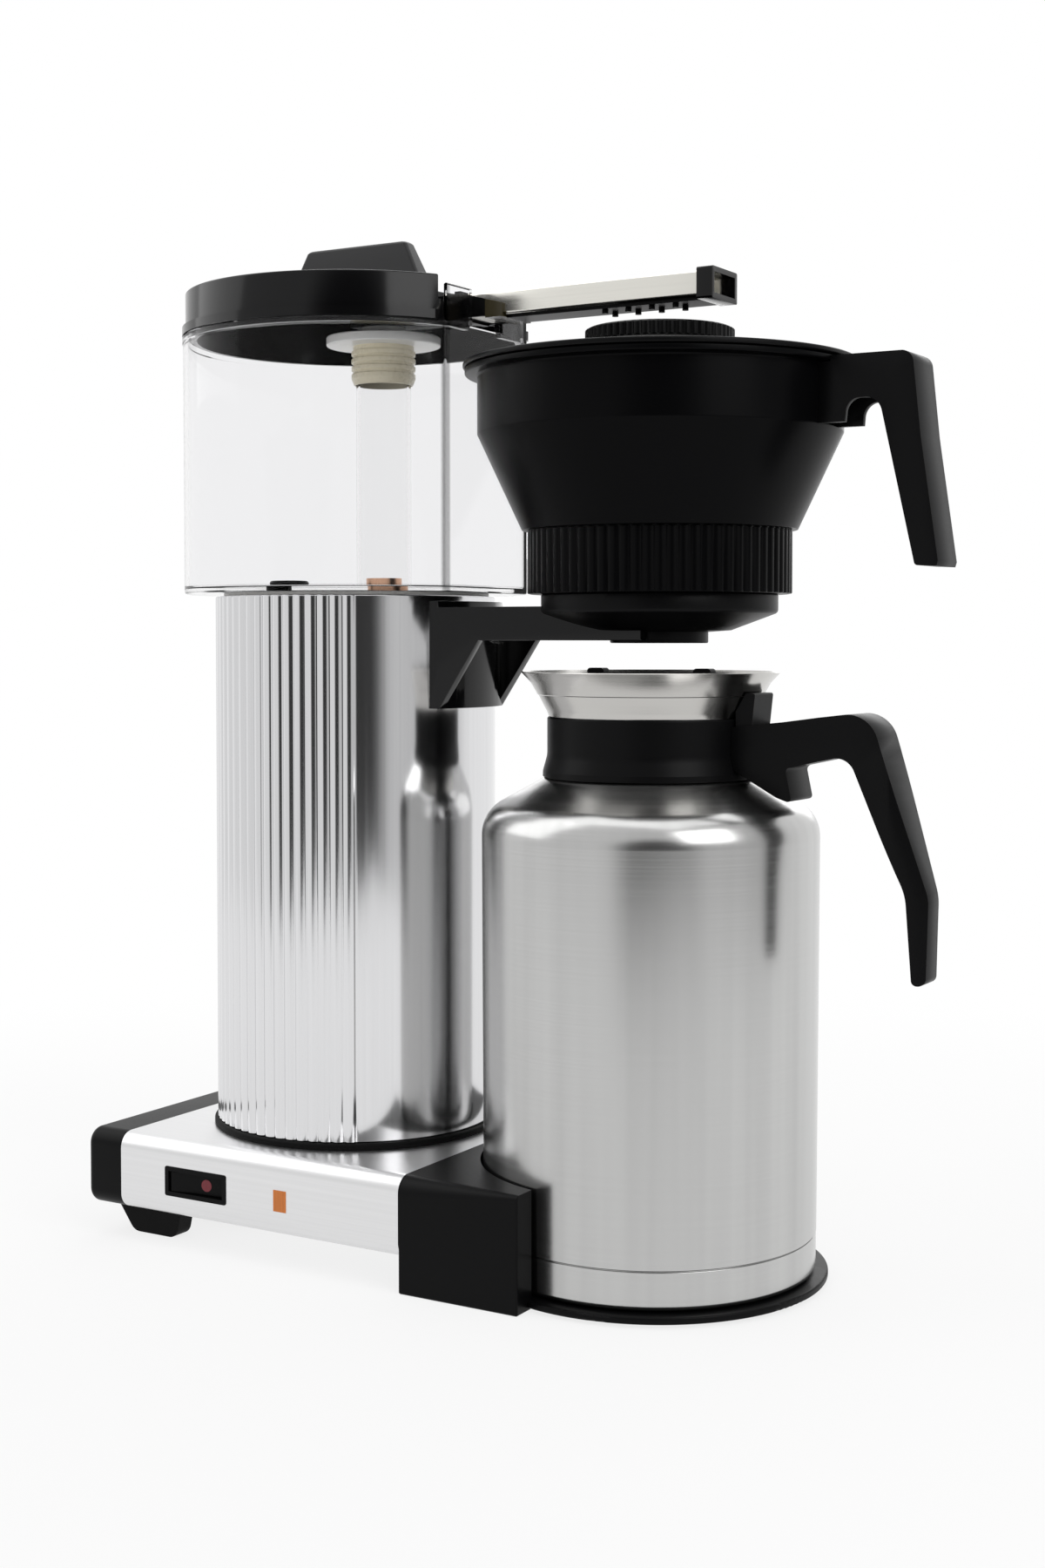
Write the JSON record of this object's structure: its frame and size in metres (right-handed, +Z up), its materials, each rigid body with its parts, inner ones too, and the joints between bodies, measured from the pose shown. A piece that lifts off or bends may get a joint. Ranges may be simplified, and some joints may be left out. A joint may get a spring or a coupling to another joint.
{
  "type": "drip coffee maker",
  "caption": "Upright filter coffee maker: reeded metal tower with clear tank and lid, outlet arm over a black basket, thermal jug on a low base.",
  "frame": {"origin": "on the table, in the middle of the machine's length and width", "axes": "+X from the tower towards the handles, -Y towards the switch, +Z up"},
  "size_m": [0.3708, 0.164, 0.4444],
  "materials": {
    "satin_aluminium": "satin extruded aluminium",
    "polished_aluminium": "polished reeded aluminium",
    "brushed_steel": "brushed stainless steel",
    "bright_steel": "bright plated steel",
    "copper": "plain drawn copper",
    "heater_steel": "dull heat-tinted steel",
    "black_satin": "satin black moulding",
    "black_gloss": "gloss black moulding",
    "dark_grip": "satin dark grey moulding",
    "clear": "clear water-white moulding",
    "ivory": "ivory moulding",
    "white": "white moulding",
    "olive": "olive-brown tinted moulding",
    "black_rubber": "black rubber",
    "silicone": "translucent silicone",
    "red_lens": "red tinted lens",
    "amber_lens": "amber tinted lens",
    "pale_insulator": "pale heat-proof moulding"
  },
  "bodies": {
    "machine": {"base_profile": "satin_aluminium", "rear_end_cap": "black_satin", "cord_gland": "black_rubber", "front_housing": "black_satin", "carafe_plate": "black_satin", "front_pads": "black_rubber", "rear_feet": "black_rubber", "bottom_cover": "satin_aluminium", "cover_screws": "bright_steel", "switch_bezel": "black_satin", "switch_body": "black_satin", "indicator_lens": "amber_lens", "indicator_lamp": "red_lens", "terminal_block": "pale_insulator", "tower_foot_ring": "black_rubber", "tower_shell": "polished_aluminium", "tower_cap": "black_satin", "tank_gasket": "silicone", "tank_nut": "bright_steel", "tank_strainer": "black_satin", "feed_hose": "silicone", "check_valve_body": "pale_insulator", "cross_tube": "copper", "boiler_tube": "copper", "heater_rods": "heater_steel", "boiler_straps": "bright_steel", "thermostat": "pale_insulator", "thermal_fuse": "bright_steel", "riser_tube": "clear", "tank": "clear", "basket_bracket": "black_gloss", "bracket_screws": "bright_steel"},
    "rocker": {"switch_rocker": "black_satin", "rocker_lens": "red_lens"},
    "outlet_arm": {"outlet_tube": "brushed_steel", "arm_root": "black_satin", "arm_sleeve": "olive", "arm_end_cap": "black_gloss", "outlet_strip": "black_satin", "riser_coupling": "ivory", "coupling_disc": "white"},
    "lid": {"tank_lid": "black_gloss", "lid_knob": "dark_grip"},
    "basket": {"filter_basket": "black_satin", "basket_base": "black_satin", "basket_handle": "black_satin"},
    "basket_cover": {"basket_lid": "black_satin"},
    "carafe": {"carafe_shell": "brushed_steel", "carafe_base_cup": "brushed_steel", "carafe_flask": "brushed_steel", "carafe_collar": "black_satin", "carafe_funnel": "brushed_steel", "carafe_handle": "black_satin", "collar_screw": "bright_steel", "funnel_clip": "black_satin"},
    "stopper": {"brew_lid": "black_satin", "lid_seal": "silicone", "mixing_tube": "black_satin"},
    "valve_ball": {"check_ball": "silicone"}
  },
  "joints": [
    {"name": "rocker_tilt", "type": "hinge", "parent": "machine", "child": "rocker", "pos_m": [-0.12315, -0.0773, 0.0304], "axis": [0, 0, -1], "range_deg": [0, 10]},
    {"name": "arm_lift", "type": "slide", "parent": "machine", "child": "outlet_arm", "axis": [0, 0, 1], "range_m": [0, 0.04]},
    {"name": "lid_lift", "type": "slide", "parent": "outlet_arm", "child": "lid", "axis": [0, 0, 1], "range_m": [0, 0.06]},
    {"name": "basket_pull", "type": "slide", "parent": "machine", "child": "basket", "axis": [1, 0, 0], "range_m": [0, 0.15]},
    {"name": "basket_cover_lift", "type": "slide", "parent": "basket", "child": "basket_cover", "axis": [0, 0, 1], "range_m": [0, 0.005]},
    {"name": "carafe_pull", "type": "slide", "parent": "machine", "child": "carafe", "axis": [1, 0, 0], "range_m": [0, 0.16]},
    {"name": "stopper_turn", "type": "hinge", "parent": "carafe", "child": "stopper", "pos_m": [0.05655, 0, 0.232], "axis": [0, 0, 1], "range_deg": [0, 90]},
    {"name": "valve_ball_rise", "type": "slide", "parent": "machine", "child": "valve_ball", "axis": [0, 0, 1], "range_m": [0, 0.0013]}
  ]
}
